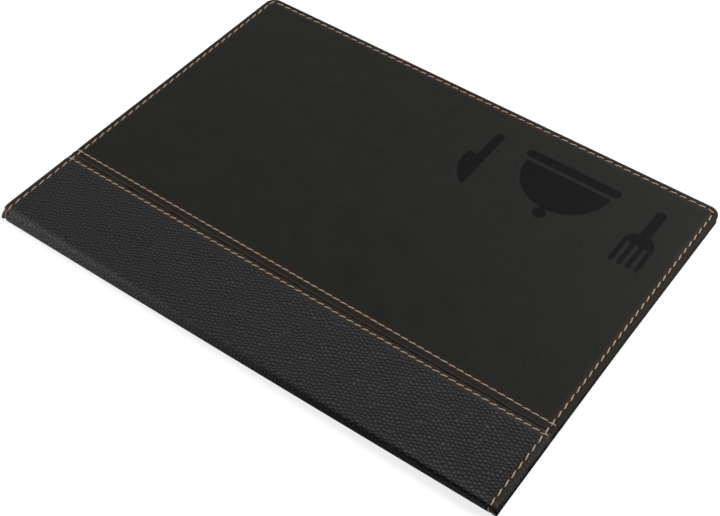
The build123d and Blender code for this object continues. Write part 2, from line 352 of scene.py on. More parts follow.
def pressed_share(x, y):
    """1 on the pressed floor of the sign and 0 outside it. The three shapes lie side by side
    with their tops to the spine."""
    u = y - SIGN_Y
    v = SIGN_X - x
    distance = np.minimum(fork_distance(u + FORK_FROM_DISH, v), dome_distance(u, v))
    distance = np.minimum(distance, knife_distance(u - KNIFE_FROM_DISH, v))
    return 1 - smoothstep(-SIGN_SOFTNESS, SIGN_SOFTNESS, distance)


def lap_sway(x, y):
    """How far the folded edge at the seam wanders from its line, in mm."""
    wander = 0.12 * np.sin(y / 1.26) + 0.14 * np.sin(y / 3.7 + 1) + 0.14 * np.sin(y / 2.1 + 2)
    return (wander - 0.08) * (1 - smoothstep(38.8, 40.2, x))


def tail_edge(x, y, z):
    """Shares of the back's edge at the tail that get a painted highlight, and that get painted shade.
    """
    from_tail = y + LENGTH / 2
    inwards = np.clip((BACK_SHOWS_TO - x) / 60, 0, 1) * (z < MIDDLE)
    shaded = smoothstep(0.7, 0.4, from_tail) * inwards
    return smoothstep(2.0, 0.9, from_tail) * (z > 0.9) * (inwards - shaded), shaded


def panel(name, side, relief, inner_x, inner_y):
    """The smooth panel of the front cover (side 1) or of the back cover (side -1)."""
    face = MIDDLE + side * MIDDLE
    return cover_sheet(name, face, -side, 0, PANEL_SEAM, HEM, inner_x, inner_y, relief, lap_sway)


fine_x = np.arange(SIGN_X - 18.6, SIGN_X + 18.7, SIGN_GRID)
fine_y = np.arange(SIGN_Y - 49.6, SIGN_Y + 44.6, SIGN_GRID)
inner_x = list(np.arange(46.0, fine_x[0] - 1, 2.0)) + list(fine_x) + [159.0, 161.5, 164.0]
inner_y = [-112.0, -110.3] + list(fine_y) + list(np.arange(fine_y[-1] + 1.0, 112.6, 1.0))
front_panel = panel(
    "front_panel", 1, lambda x, y: SIGN_DEPTH * pressed_share(x, y), inner_x, inner_y
)
x, y, _ = places_of(front_panel).T
keep_values(front_panel, "pressed", pressed_share(x, y))
back_panel = panel(
    "back_panel", -1, None, np.arange(46.0, 165.0, 2.5), np.arange(-112.0, 112.1, 1.5)
)
# Painted light on the panels: a painted highlight along the ridge, stronger towards the head, and on
# the ledge of the back's tail edge; painted shade in the hollow beside the ridge, under the folded
# edge and on the back's tail edge.
for piece in (front_panel, back_panel):
    x, y, z = places_of(piece).T
    lit, shaded = tail_edge(x, y, z)
    from_ridge = x - RIDGE_X
    painted_highlight = np.exp(-((from_ridge / 0.45) ** 2)) * (0.45 + 0.55 * (y / LENGTH + 0.5))
    folded = 1 - smoothstep(-0.6, -0.3, from_ridge)
    keep_values(piece, "painted_highlight", np.maximum(painted_highlight, lit))
    keep_values(piece, "hollow_shade", np.exp(-(((from_ridge - 1.45) / 0.75) ** 2)))
    keep_values(piece, "painted_shade", np.maximum(folded, shaded))

# Smooth leatherette: polyurethane on cloth, pressed against a polished plate. To the eye it is
# nearly black, half matt and faintly mottled, with fine wrinkles; pores too fine to show are drawn
# 0.35 mm apart. It is darker and more matt in the pressed sign. Along the stitches, where it is
# pulled in, painted shade makes it darker and browner; a painted highlight makes it lighter along the
# ridge; painted shade darkens the hollow beside the ridge and makes it black in patches under the
# folded edge. The back's tail edge gets a painted highlight on its ledge and painted shade below it.
PATCH = 0.0045


def stitch_shade(tree, colour):
    """A colour that turns darker and browner beside the stitches: painted shade of the thread."""
    row = add_node(tree, "ShaderNodeAttribute", {}, attribute_name="row_distance")
    beside = add_node(
        tree, "ShaderNodeMapRange", {"Value": row.outputs["Fac"], 1: 0.9, 2: 2.2, 3: 0.85, 4: 0.0},
        interpolation_type="SMOOTHSTEP",
    )
    inputs = {0: beside.outputs[0], 6: colour, 7: linear("2d2013")}
    return add_node(tree, "ShaderNodeMix", inputs, data_type="RGBA").outputs[2]


def patchy_shade(tree, surface, word, ends, colour, tint):
    """A colour that is tinted with painted shade in patches where the named attribute is 1, and the
    share of the tint. ends is what the patches' noise is mapped from and to."""
    place = add_node(tree, "ShaderNodeAttribute", {}, attribute_name=word)
    inputs = {"Vector": surface, "Scale": 1 / PATCH, "Detail": 2.0}
    patches = add_node(tree, "ShaderNodeTexNoise", inputs)
    inputs = {"Value": patches.outputs[0], **dict(enumerate(ends, 1))}
    patchy = add_node(tree, "ShaderNodeMapRange", inputs)
    inputs = {0: place.outputs["Fac"], 1: patchy.outputs[0]}
    share = add_node(tree, "ShaderNodeMath", inputs, operation="MULTIPLY").outputs[0]
    inputs = {0: share, 6: colour, 7: linear(tint)}
    return add_node(tree, "ShaderNodeMix", inputs, data_type="RGBA").outputs[2], share


smooth_leatherette, tree, surface = new_material("smooth_leatherette", "Object")
mottling = add_node(
    tree, "ShaderNodeTexNoise",
    {"Vector": surface, "Scale": 1 / 0.011, "Detail": 5.0, "Roughness": 0.62},
)
tone = add_node(tree, "ShaderNodeValToRGB", {0: mottling.outputs[0]})
for step, position, colour in ((0, 0.3, "131311"), (1, 0.72, "1d1d1b")):
    tone.color_ramp.elements[step].position = position
    tone.color_ramp.elements[step].color = linear(colour)
# Painted shade beside the stitches.
colour = stitch_shade(tree, tone.outputs[0])
marks = {}
# Darker in the pressed sign; a painted highlight on the ridge and the tail ledge; painted shade in
# the hollow beside the ridge.
for word, tint in (("pressed", "0f0f0f"), ("painted_highlight", "3a3836"), ("hollow_shade", "1a120b")):
    marks[word] = add_node(tree, "ShaderNodeAttribute", {}, attribute_name=word).outputs["Fac"]
    colour = add_node(
        tree, "ShaderNodeMix", {0: marks[word], 6: colour, 7: linear(tint)}, data_type="RGBA"
    ).outputs[2]
# Painted shade: black patches under the folded edge and black on the back's tail edge, with the gloss
# nearly off there too.
colour, patch_shade_share = patchy_shade(tree, surface, "painted_shade", (0.42, 0.55, 0.1, 1.0), colour, "0c0a09")
matt = add_node(tree, "ShaderNodeMapRange", {"Value": marks["pressed"], 3: 0.095, 4: 0.045})
specular_level = add_node(tree, "ShaderNodeMapRange", {"Value": patch_shade_share, 3: matt.outputs[0], 4: 0.01})
gloss = add_node(
    tree, "ShaderNodeMapRange", {"Value": mottling.outputs[0], 1: 0.3, 2: 0.7, 3: 0.52, 4: 0.62}
)
wrinkles = add_node(
    tree, "ShaderNodeTexNoise",
    {"Vector": surface, "Scale": 1 / 0.0026, "Detail": 3.0, "Distortion": 0.8},
)
broad = add_node(
    tree, "ShaderNodeBump", {"Height": wrinkles.outputs[0], "Strength": 0.8, "Distance": 0.2 * MM}
)
pores = add_node(
    tree, "ShaderNodeTexVoronoi", {"Vector": surface, "Scale": 1 / 0.00035}, feature="F1"
)
bump = add_node(
    tree, "ShaderNodeBump",
    {"Height": pores.outputs[0], "Strength": 0.25, "Distance": 0.02 * MM,
     "Normal": broad.outputs[0]},
)
shader = add_node(
    tree, "ShaderNodeBsdfPrincipled",
    {"Base Color": colour, "Roughness": gloss.outputs[0],
     "Specular IOR Level": specular_level.outputs[0], "Normal": bump.outputs[0]},
)
add_node(tree, "ShaderNodeOutputMaterial", {"Surface": shader.outputs[0]})

for piece, word in ((front_panel, "front"), (back_panel, "back")):
    piece.data.materials.append(smooth_leatherette)
    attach(piece, word + "_cover")
    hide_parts(word + "_skin_panel")


# Grained bands: the same leatherette pressed with a pebble grain, in one piece from the front seam
# round the spine to the back seam. It is sharp at the tail and rounder towards the head, where its
# foot stands out. It is drawn as two halves, because each bends over one fold.
BAND_SEAM = (  # distance from the spine face and depth: under the panel, groove, row of stitches
    (39.5, 0.38), (38.4, 0.34), (38.1, 0.3), (37.8, 0.22), (37.5, 0.14), (37.2, 0.09),
    (36.8, 0.12), (36.5, 0.19), (36.3, 0.23), (36.1, 0.19), (35.7, 0.07), (35.2, 0.0),
    (34.5, -0.01),
)
GROOVE_X = 37.85
GRAIN_STOPS = (34.0, 35.4)  # from the spine face: the grain fades out here, short of the seam
FOLD_FROM = 9.0  # from here to the spine the section bends
FOLD_STEPS = 46
INNER_WALL = 1.05  # spine face to the inside of the skin's turned-in margin
NOTCH_Z = 3.2
NOTCH_DEPTH = 1.8
BACK_STANDS_OUT = 0.95  # below the front at the tail, beside the spine
BACK_RISES = 0.9  # share by which its edge is higher there


def line_length(points):
    """The distance along a line of points, from the first to each of them."""
    steps = np.linalg.norm(np.diff(points, axis=0), axis=1)
    return np.concatenate(([0], np.cumsum(steps)))


def set_uv(piece, places):
    """Gives each vertex of a piece its place on the flat cloth, in mm, as its UVs."""
    corners = np.empty(len(piece.data.loops), int)
    piece.data.loops.foreach_get("vertex_index", corners)
    flat = places.reshape(-1, 2)[corners] * MM
    piece.data.uv_layers[0].data.foreach_set("uv", flat.ravel())


def foot_stands_out(y):
    """How far the foot of the spine lies outside the CAD's spine face."""
    towards_head = (y + LENGTH / 2) / LENGTH
    return 3.3 * towards_head - 0.3 + 0.4 * math.sin(math.pi * towards_head)


def fold_section(y, side):
    """One half of the section through the fold at a place along the spine, from the flat face
    to half way up the spine: distance from the CAD's spine face, height from the middle, and
    the length along it."""
    if side > 0:
        towards_head = (y + LENGTH / 2) / LENGTH
        reach = 1.1 + 2.1 * towards_head**1.5
        power = 5.0 - 2.7 * towards_head**0.6
        angle = np.radians(90 * (1 - np.linspace(0, 1, 240) ** 1.6))
        height = MIDDLE * np.sin(angle) ** (2 / power)
        x = reach + 0.05 - reach * np.cos(angle) ** (2 / power)
    else:
        angle = np.radians(np.linspace(90, 0, 40))
        height = np.concatenate((1.66 + 0.44 * np.sin(angle), np.linspace(1.6, 0, 30)))
        x = np.concatenate((0.5 - 0.45 * np.cos(angle), np.full(30, 0.05)))
    x = x - foot_stands_out(y) * (1 - side * height / MIDDLE) / 2
    x = np.concatenate(([FOLD_FROM], x))
    height = np.concatenate(([MIDDLE], height))
    length = line_length(np.stack((x, height), axis=1))
    steps = np.linspace(0, length[-1], FOLD_STEPS)
    return np.interp(steps, length, x), np.interp(steps, length, height), steps


def drawn_in(x, y, z):
    """Where a place near the head end comes to lie: under the front's hem, the spine's is drawn
    in to a small notch."""
    width = np.where(z > NOTCH_Z, 1.1, 0.7)
    notch = NOTCH_DEPTH * np.exp(-(((z - NOTCH_Z) / width) ** 2)) * (1 - smoothstep(-0.8, 0.35, x))
    return y - notch * smoothstep(112.5, 119.6, y)


def mark_band(piece, side, places, y, across):
    """Stores where the band is grained, and its painted light: painted shade in the groove, on the
    spine's wall and the tail edge, and gloss for painted highlights. across is 0 in the fold.
    """
    x = places[:, :, 0]
    z = places[:, :, 2]
    in_fold = across == 0
    # The grain, with its painted highlights and shade, fades towards the head.
    fainter = 1 - 0.62 * smoothstep(-125, 90, y)
    from_stitches = 0.12 + 0.88 * smoothstep(1.5, 3.3, LENGTH / 2 - np.abs(y))
    grained = (1 - smoothstep(*GRAIN_STOPS, across)) * (fainter * from_stitches)[:, np.newaxis]
    # Painted shade in the groove beside the seam.
    crease_shade = np.exp(-(((across - GROOVE_X) / 0.4) ** 2)) * np.ones(x.shape)
    rise = np.abs(np.gradient(z, axis=1))
    steepness = rise / np.maximum(np.hypot(rise, np.gradient(x, axis=1)), 1e-6)
    head_share = smoothstep(-60, 110, y)[:, np.newaxis]
    tail_share = smoothstep(-20, -122, y)[:, np.newaxis]
    lit, shaded = tail_edge(x, y[:, np.newaxis], z)
    # Gloss raised on the head's fold for a painted highlight; painted shade on the spine's wall away
    # from the head.
    wear_and_sheen = smoothstep(0.0, 0.5, steepness) * (1 - 0.45 * smoothstep(0.5, 0.8, steepness))
    wear_and_sheen = wear_and_sheen * in_fold * head_share
    wall_shade = smoothstep(0.6, 1.0, steepness) * in_fold * (1 - head_share)
    shoulder = np.zeros(x.shape)
    # At the tail the painted shade reaches onto the top beside the fold, the fold's shoulder gets
    # gloss for a painted highlight, and the painted shade grows darker towards the tail and covers
    # the tail edge.
    if side > 0:
        wall_shade = np.maximum(wall_shade, tail_share * (1 - smoothstep(0.5, 1.6, x)))
        shoulder = tail_share * np.exp(-(((x - 2.5) / 0.8) ** 2))
    wall_shade = np.maximum(wall_shade * (1 + 0.4 * tail_share), 1.8 * shaded)
    # The gloss, lowered in the painted shade and raised for the painted highlights.
    shine = 0.12 - 0.1 * np.minimum(wall_shade, 1) + 0.18 * wear_and_sheen + 0.07 * shoulder + 0.3 * lit
    keep_values(piece, "grained", grained)
    keep_values(piece, "crease_shade", crease_shade)
    keep_values(piece, "wall_shade", wall_shade)
    keep_values(piece, "shine", shine * (1 - shaded))


def band(name, side):
    """Half of the grained band, on the front (side 1) or the back (side -1)."""
    flat = np.array(list(BAND_SEAM) + [(x, 0.0) for x in np.arange(33.5, FOLD_FROM, -1.5)])
    flat_x, flat_depth = flat.T
    inset, depth = np.array(HEM).T
    way = line_length(np.array(HEM))
    half = LENGTH / 2
    flat_end = half - inset[-1]
    inner_y = np.arange(-112.0, 112.1, 1.6)
    y = np.concatenate((inset - half, inner_y, half - inset[::-1]))
    v = np.concatenate((way - way[-1] - flat_end, inner_y, flat_end + way[-1] - way[::-1]))
    below = np.concatenate((depth, np.zeros(len(inner_y)), depth[::-1]))
    to_row = np.where(np.arange(len(inset)) > np.argmin(inset), np.abs(inset - STITCH_MARGIN), NO_ROW)
    to_edge_row = np.concatenate((to_row, np.full(len(inner_y), NO_ROW), to_row[::-1]))
    to_seam_row = np.concatenate((np.abs(flat_x - BAND_ROW_X), np.full(FOLD_STEPS, NO_ROW)))
    row_distance = np.minimum(to_seam_row[np.newaxis, :], to_edge_row[:, np.newaxis])
    places = np.empty((*row_distance.shape, 3))
    uv = np.empty((*row_distance.shape, 2))
    for i, place in enumerate(y):
        fold_x, fold_height, steps = fold_section(place, side)
        x = np.concatenate((flat_x, fold_x))
        height = np.concatenate((np.full(len(flat), MIDDLE), fold_height))
        share = np.clip(below[i] / SKIN_DEPTH, -0.1, 1)
        inner_x = np.maximum(x, INNER_WALL)
        inner_height = np.minimum(height, MIDDLE - SKIN_DEPTH)
        seam = np.concatenate((flat_depth, np.zeros(FOLD_STEPS))) * (1 - max(share, 0))
        height = height + (inner_height - height) * share - seam
        places[i, :, 0] = x + (inner_x - x) * share
        places[i, :, 2] = MIDDLE + side * height
        places[i, :, 1] = drawn_in(places[i, :, 0], place, places[i, :, 2])
        if side > 0:
            uv[i, :, 0] = np.concatenate((flat_x, FOLD_FROM - steps))
        else:
            front_end = FOLD_FROM - fold_section(place, 1)[2][-1]
            uv[i, :, 0] = front_end - steps[-1] + np.concatenate((FOLD_FROM - flat_x, steps))
        uv[i, :, 1] = v[i]
    piece = grid_piece(name, places, side < 0, row_distance)
    set_uv(piece, uv)
    mark_band(piece, side, places, y, np.concatenate((flat_x, np.zeros(FOLD_STEPS))))
    return piece


def stand_out(piece):
    """Moves the tail's inner end of a piece of the back cover out below the front cover."""
    for vertex in piece.data.vertices:
        x = (vertex.co.x - SPINE_FACE) / MM
        from_tail = vertex.co.y / MM + LENGTH / 2
        inwards = np.clip(1 - x / BACK_SHOWS_TO, 0, 1) ** 1.2
        raised = inwards * smoothstep(0.6, 3.5, x) * smoothstep(3.0, 0.8, from_tail)
        vertex.co.z *= 1 + BACK_RISES * raised
        vertex.co.y -= BACK_STANDS_OUT * MM * inwards * smoothstep(8.0, 2.0, from_tail)


front_band = band("front_band", 1)
back_band = band("back_band", -1)
stand_out(back_panel)
stand_out(back_band)

# Grained leatherette: the pebbles are embossed by a roller, in staggered rows 1.7 mm apart. Their
# rounded tops are painted lighter as a painted highlight, and the creases between them are matt and
# painted black as painted shade. They stop short of the seam and beyond the edge stitches, where the
# skin is pressed flat, and fade towards the head with their painted light. The spine's wall is
# painted nearly black towards the tail, as painted shade.
GRAIN_WAVES = (  # waves per mm across and along the band, and their share
    (0.61, 0.28, 1.0), (0.59, -0.33, 0.75), (0.018, 0.61, 0.65),
)
grained_leatherette, tree, surface = new_material("grained_leatherette", "UV")
drift = add_node(tree, "ShaderNodeTexNoise", {"Vector": surface, "Scale": 1 / 0.005, "Detail": 2.0})
moved = add_node(
    tree, "ShaderNodeVectorMath",
    {0: drift.outputs["Color"], 1: (0.003, 0.003, 0), 2: surface}, operation="MULTIPLY_ADD",
)
swells = 0.0
for across, along, share in GRAIN_WAVES:
    turns = add_node(
        tree, "ShaderNodeVectorMath",
        {0: moved.outputs[0], 1: (math.tau * across / MM, math.tau * along / MM, 0)},
        operation="DOT_PRODUCT",
    )
    wave = add_node(tree, "ShaderNodeMath", {0: turns.outputs["Value"]}, operation="COSINE")
    swells = add_node(
        tree, "ShaderNodeMath", {0: wave.outputs[0], 1: share, 2: swells}, operation="MULTIPLY_ADD"
    ).outputs[0]
pebbles = add_node(tree, "ShaderNodeMapRange", {"Value": swells, 1: -1.3, 2: 2.2})
grained = add_node(tree, "ShaderNodeAttribute", {}, attribute_name="grained")
inputs = {0: pebbles.outputs[0], 1: grained.outputs["Fac"]}
grain = add_node(tree, "ShaderNodeMath", inputs, operation="MULTIPLY")
inputs = {"Vector": surface, "Scale": 1 / 0.012, "Detail": 4.0}
mottling = add_node(tree, "ShaderNodeTexNoise", inputs)
# Painted shade: the spine's wall is mixed towards near black.
wall_shade = add_node(tree, "ShaderNodeAttribute", {}, attribute_name="wall_shade")
inputs = {0: wall_shade.outputs["Fac"], 1: 0.55}
painted_wall_shade = add_node(tree, "ShaderNodeMath", inputs, operation="MULTIPLY")
# Painted highlight on the pebble tops and painted shade, near black, in the creases between them.
inputs = {0: mottling.outputs[0], 6: linear("37373a"), 7: linear("4d4d51")}
tops = add_node(tree, "ShaderNodeMix", inputs, data_type="RGBA")
inputs = {0: grained.outputs["Fac"], 6: linear("171718"), 7: linear("0c0c0c")}
flat = add_node(tree, "ShaderNodeMix", inputs, data_type="RGBA")
inputs = {0: grain.outputs[0], 6: flat.outputs[2], 7: tops.outputs[2]}
pebbled = add_node(tree, "ShaderNodeMix", inputs, data_type="RGBA")
inputs = {0: painted_wall_shade.outputs[0], 6: pebbled.outputs[2], 7: linear("0d0c0c")}
black = add_node(tree, "ShaderNodeMix", inputs, data_type="RGBA").outputs[2]
# Painted shade: near-black patches along the groove beside the seam.
colour = patchy_shade(tree, surface, "crease_shade", (0.46, 0.56, 0.0, 0.9), black, "060505")[0]
bump = add_node(
    tree, "ShaderNodeBump", {"Height": grain.outputs[0], "Strength": 1.0, "Distance": 0.7 * MM}
)
# Its gloss carries the band's painted highlights and painted shade.
specular_level = add_node(tree, "ShaderNodeAttribute", {}, attribute_name="shine")
shader = add_node(
    tree, "ShaderNodeBsdfPrincipled",
    {"Base Color": stitch_shade(tree, colour), "Roughness": 0.42,
     "Specular IOR Level": specular_level.outputs["Fac"], "Normal": bump.outputs[0]},
)
add_node(tree, "ShaderNodeOutputMaterial", {"Surface": shader.outputs[0]})


def in_frame(x, y, z):
    """A place given in mm from the spine face, as metres in the frame."""
    return Vector((SPINE_FACE + x * MM, y * MM, z * MM))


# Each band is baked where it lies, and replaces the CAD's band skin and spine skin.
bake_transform(front_band)
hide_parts("front_skin_band", "spine_skin")
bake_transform(back_band)
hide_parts("back_skin_band", "spine_skin")
for piece in (front_band, back_band):
    piece.data.materials.append(grained_leatherette)


# Stitches: tan sewing thread in floats about 3.5 mm long, each a little aslant, which dip into
# their holes at both ends. A row runs round head, fore-edge and tail and over the spine's ends,
# and two rows run along the seam; the same thread shows inside, on the lining.
EDGE_PITCH = 4.4
EDGE_STITCH = 3.75
SEAM_PITCH = 3.6
THREAD_WIDTH = 0.57
THREAD_HEIGHT = 0.34
THREAD_DEPTH = {1: 0.08, -1: 0.26}  # of its middle below the face; the underside is pressed flat
SEAM_ROWS = (  # the side of the seam, distance from the spine face, length and slant of a stitch
    ("band", BAND_ROW_X, 3.35, 8), ("panel", PANEL_ROW_X, 3.5, 2.5),
)
SPINE_STITCH = 3.3
SPINE_STITCH_Z = 1.7


def select_only(pieces):
    """Selects these pieces and nothing else, with the first one active."""
    bpy.ops.object.select_all(action="DESELECT")
    for piece in pieces:
        piece.select_set(True)
    bpy.context.view_layer.objects.active = pieces[0]


def join(pieces, name):
    """Makes one piece of several, and names it."""
    select_only(pieces)
    bpy.ops.object.join()
    joined = bpy.context.object
    joined.name = name
    joined.data.name = name
    return joined


def stitch_shape(length):
    """One float of thread along X, at the origin."""
    bpy.ops.object.select_all(action="DESELECT")
    bpy.ops.mesh.primitive_uv_sphere_add(
        segments=8, ring_count=7, radius=0.5, rotation=(0, math.pi / 2, 0)
    )
    shape = bpy.context.object
    bpy.ops.object.transform_apply(location=False, rotation=True, scale=False)
    bpy.ops.object.mode_set(mode="EDIT")
    bpy.ops.mesh.select_all(action="SELECT")
    bpy.ops.transform.resize(value=(length * MM, THREAD_WIDTH * MM, THREAD_HEIGHT * MM))
    bpy.ops.object.mode_set(mode="OBJECT")
    for vertex in shape.data.vertices:
        share = vertex.co.x / (length * MM / 2)
        vertex.co.z -= 0.16 * MM * share**4
        vertex.co.y += 0.07 * MM * math.sin(math.pi * share)
    bpy.ops.object.shade_smooth()
    return shape


def sew(name, places, length, slant):
    """Copies one stitch to each place, given as a point, the row's direction and the way out."""
    first = stitch_shape(length)
    copies = []
    for point, along, out in places:
        along = (Vector(along) - Vector(along).project(Vector(out))).normalized()
        turned = Matrix.Rotation(math.radians(slant), 3, Vector(out)) @ along
        side = Vector(out).cross(turned)
        copy = first.copy()
        copy.data = first.data.copy()
        bpy.context.collection.objects.link(copy)
        turn = Matrix((turned, side, Vector(out))).transposed().to_4x4()
        copy.matrix_world = Matrix.Translation(in_frame(*point)) @ turn
        copies.append(copy)
    bpy.data.objects.remove(first)
    row = join(copies, name)
    bpy.ops.object.transform_apply(location=True, rotation=True, scale=True)
    row.data.materials.append(thread)
    return row


def edge_path(side):
    """The row from the tail end of the spine round the cover to its head end, in small steps."""
    inset = LENGTH / 2 - STITCH_MARGIN
    ends = []
    for y in (-inset, inset):
        x, up, _ = fold_section(y, side)
        z = MIDDLE + side * up
        ends.append(np.stack((x, drawn_in(x, y, z), z), axis=1))
    far = WIDTH - STITCH_MARGIN
    turn = CORNER_RADIUS - STITCH_MARGIN
    angle = np.radians(np.linspace(0, 90, 13))
    corner = np.stack((
        far - turn + turn * np.sin(angle), inset - turn + turn * np.cos(angle),
        np.full(13, MIDDLE + side * MIDDLE),
    ), axis=1)
    return np.concatenate((ends[0][::-1], corner * (1, -1, 1), corner[::-1], ends[1]))


def along_edge(path, shift):
    """Points and directions of a row's stitches, set off by a share of the pitch."""
    length = line_length(path)
    count = round(length[-1] / EDGE_PITCH)
    found = []
    for i in range(0 if shift else 1, count):
        place = length[-1] * (i + shift) / count
        before, point, after = (
            np.array([np.interp(place + step, length, path[:, axis]) for axis in range(3)])
            for step in (-0.6, 0, 0.6)
        )
        found.append((point, after - before))
    return found


def along_seam(x, face, out, shift):
    """Places of a seam row's stitches from tail to head, set off by a share of the pitch."""
    row_end = LENGTH / 2 - STITCH_MARGIN
    count = round(2 * row_end / SEAM_PITCH)
    pitch = 2 * row_end / count
    return [
        ((x, -row_end + pitch * (i + shift), face), (0, 1, 0), (0, 0, out))
        for i in range(count if shift else count + 1)
    ]


def two_toned(tree, height, tones, relief, finish):
    """Ends a material whose pattern is dark where it is low and light where it is high."""
    inputs = {0: height, 6: linear(tones[0]), 7: linear(tones[1])}
    colour = add_node(tree, "ShaderNodeMix", inputs, data_type="RGBA")
    inputs = {"Height": height, "Strength": relief[0], "Distance": relief[1] * MM}
    bump = add_node(tree, "ShaderNodeBump", inputs)
    inputs = {"Base Color": colour.outputs[2], "Normal": bump.outputs[0], **finish}
    shader = add_node(tree, "ShaderNodeBsdfPrincipled", inputs)
    add_node(tree, "ShaderNodeOutputMaterial", {"Surface": shader.outputs[0]})


# Sewing thread: tan polyester, twisted from plies. To the eye it is matt and a little hairy, with
# slanting darker lines between the plies.
thread, tree, surface = new_material("sewing_thread", "UV")
ply = add_node(
    tree, "ShaderNodeVectorMath", {0: surface, 1: (12.6, 38.0, 0)}, operation="DOT_PRODUCT"
)
wave = add_node(tree, "ShaderNodeMath", {0: ply.outputs["Value"]}, operation="SINE")
twist = add_node(tree, "ShaderNodeMapRange", {"Value": wave.outputs[0], 1: -1.0, 2: 0.2})
two_toned(
    tree, twist.outputs[0], ("7d7265", "c0b5a7"), (0.8, 0.06),
    {"Roughness": 0.6, "Specular IOR Level": 0.35, "Sheen Weight": 0.2},
)

for side, word in SIDES:
    places = []
    for point, along in along_edge(edge_path(side), 0):
        out = Vector((0, 0, side))
        if point[0] < 6:  # on the fold, where the way out turns with the skin
            out = Vector(along).cross(Vector((0, 1, 0))).normalized()
            out = out if out.z * side > 0 or out.x < 0 else -out
        places.append((Vector(point) - out * THREAD_DEPTH[side], along, out))
    edge_row = sew(word + "_edge_row", places, EDGE_STITCH, 6)
    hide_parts(word + "_edge_stitches")
    if side > 0:
        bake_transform(edge_row)
    else:
        stand_out(edge_row)
        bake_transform(edge_row)
    face = MIDDLE + side * (MIDDLE - THREAD_DEPTH[side])
    for row_word, x, length, slant in SEAM_ROWS:
        places = along_seam(x, face, side, 0)
        seam_row = sew(f"{word}_seam_row_{row_word}_side", places, length, slant)
        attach(seam_row, word + "_cover")
        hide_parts(f"{word}_seam_stitches_{row_word}_side")

places = []
for y in (STITCH_MARGIN - LENGTH / 2, LENGTH / 2 - STITCH_MARGIN):
    lean = foot_stands_out(y)
    x = 0.13 - lean * (1 - SPINE_STITCH_Z / THICKNESS)
    out = Vector((-THICKNESS, 0, lean)).normalized()
    places.append(((x, y, SPINE_STITCH_Z), (lean, 0, THICKNESS), out))
spine_stitches = sew("spine_stitches", places, SPINE_STITCH, 4)
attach(spine_stitches, "spine")
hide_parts("spine_end_stitches")


# Boards inside the covers and the card in the spine: grey recycled pulp, pressed flat and cut with
# a knife. The infill inside the turned-in margin is the same pulp as paper. To the eye all are
# dull, with fibres that show as fine flecks.
PULPS = (  # the material, its dark and light tone, and the pieces made of it
    ("greyboard", ("7f7c76", "96928a"), ("front_board", "back_board")),
    ("infill_paper", ("a8a296", "bcb6a8"), ("front_infill", "back_infill")),
    ("spine_card", ("6f6c67", "86827b"), ("spine_stiffener",)),
)


def finish_node(node, finish):
    """Gives a CAD node its finish."""
    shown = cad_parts[node]
    if not shown.material_slots:
        shown.data.materials.append(None)
    for place in shown.material_slots:
        place.material = finish


for name, tones, nodes in PULPS:
    pulp, tree, surface = new_material(name, "Object")
    fibres = add_node(
        tree, "ShaderNodeTexNoise", {"Vector": surface, "Scale": 1 / 0.0012, "Detail": 6.0}
    )
    finish = {"Roughness": 0.9, "Specular IOR Level": 0.2}
    two_toned(tree, fibres.outputs[0], tones, (0.5, 0.04), finish)
    for node in nodes:
        finish_node(node, pulp)


# Linings: black woven polyester, glued inside each cover up to a millimetre from its edge, and a
# strip of the same cloth along the spine that covers both folds. To the eye it is dull and nearly
# black, with crossing threads. Threads too fine to show are drawn 0.6 mm apart.
COVER = 1.3  # outer face of a cover to the face of its lining
LINING_INSIDE = 1.0  # from the edges of the cover
WEAVE = 0.0006
LINING_HEM = (  # inset from the lining's own edge and depth below its face
    (0.6, 0.25), (0.0, 0.24), (0.0, 0.1), (0.06, 0.02), (0.2, 0.0), (0.7, 0.0), (1.1, 0.01),
    (1.3, 0.05), (1.4, 0.07), (1.5, 0.05), (1.8, 0.01), (2.4, 0.0), (3.4, 0.0), (4.6, 0.0),
)
LINING_START = ((1.7, 0.24), (1.72, 0.08), (1.8, 0.02), (2.0, 0.0), (4.0, 0.0))
STRIP_FROM = 7.5
STRIP_WALL = 1.3  # from the spine face to the strip on the spine's card
STRIP_BEND = 0.4
STRIP_END = 116.5


def cloth_threads(tree, surface, axes, spacing):
    """The height of cloth from 0 to 1, with threads across the given axes of its UVs."""
    place = add_node(tree, "ShaderNodeSeparateXYZ", {0: surface})
    height = None
    for axis in axes:
        inputs = {0: place.outputs[axis], 1: math.tau / spacing}
        turns = add_node(tree, "ShaderNodeMath", inputs, operation="MULTIPLY")
        wave = add_node(tree, "ShaderNodeMath", {0: turns.outputs[0]}, operation="SINE")
        if height is None:
            height = wave.outputs[0]
        else:
            inputs = {0: height, 1: wave.outputs[0]}
            height = add_node(tree, "ShaderNodeMath", inputs, operation="MULTIPLY").outputs[0]
    return add_node(tree, "ShaderNodeMapRange", {"Value": height, 1: -1.0, 2: 1.0}).outputs[0]


woven_lining, tree, surface = new_material("woven_lining", "UV")
height = cloth_threads(tree, surface, (0, 1), WEAVE)
two_toned(
    tree, height, ("121213", "222224"), (0.7, 0.08),
    {"Roughness": 0.72, "Specular IOR Level": 0.25, "Sheen Weight": 0.15},
)


def swept(name, side, section, along):
    """A sheet with the same section all along the spine: distances from the spine face and
    heights from the middle. Its UVs are its place on the flat cloth."""
    places = np.empty((len(along), len(section), 3))
    places[:, :, 0] = section[:, 0]
    places[:, :, 1] = along[:, np.newaxis]
    places[:, :, 2] = MIDDLE + side * section[:, 1]
    piece = grid_piece(name, places, side > 0)
    set_uv(piece, np.stack(np.meshgrid(line_length(section), along), axis=-1))
    return piece


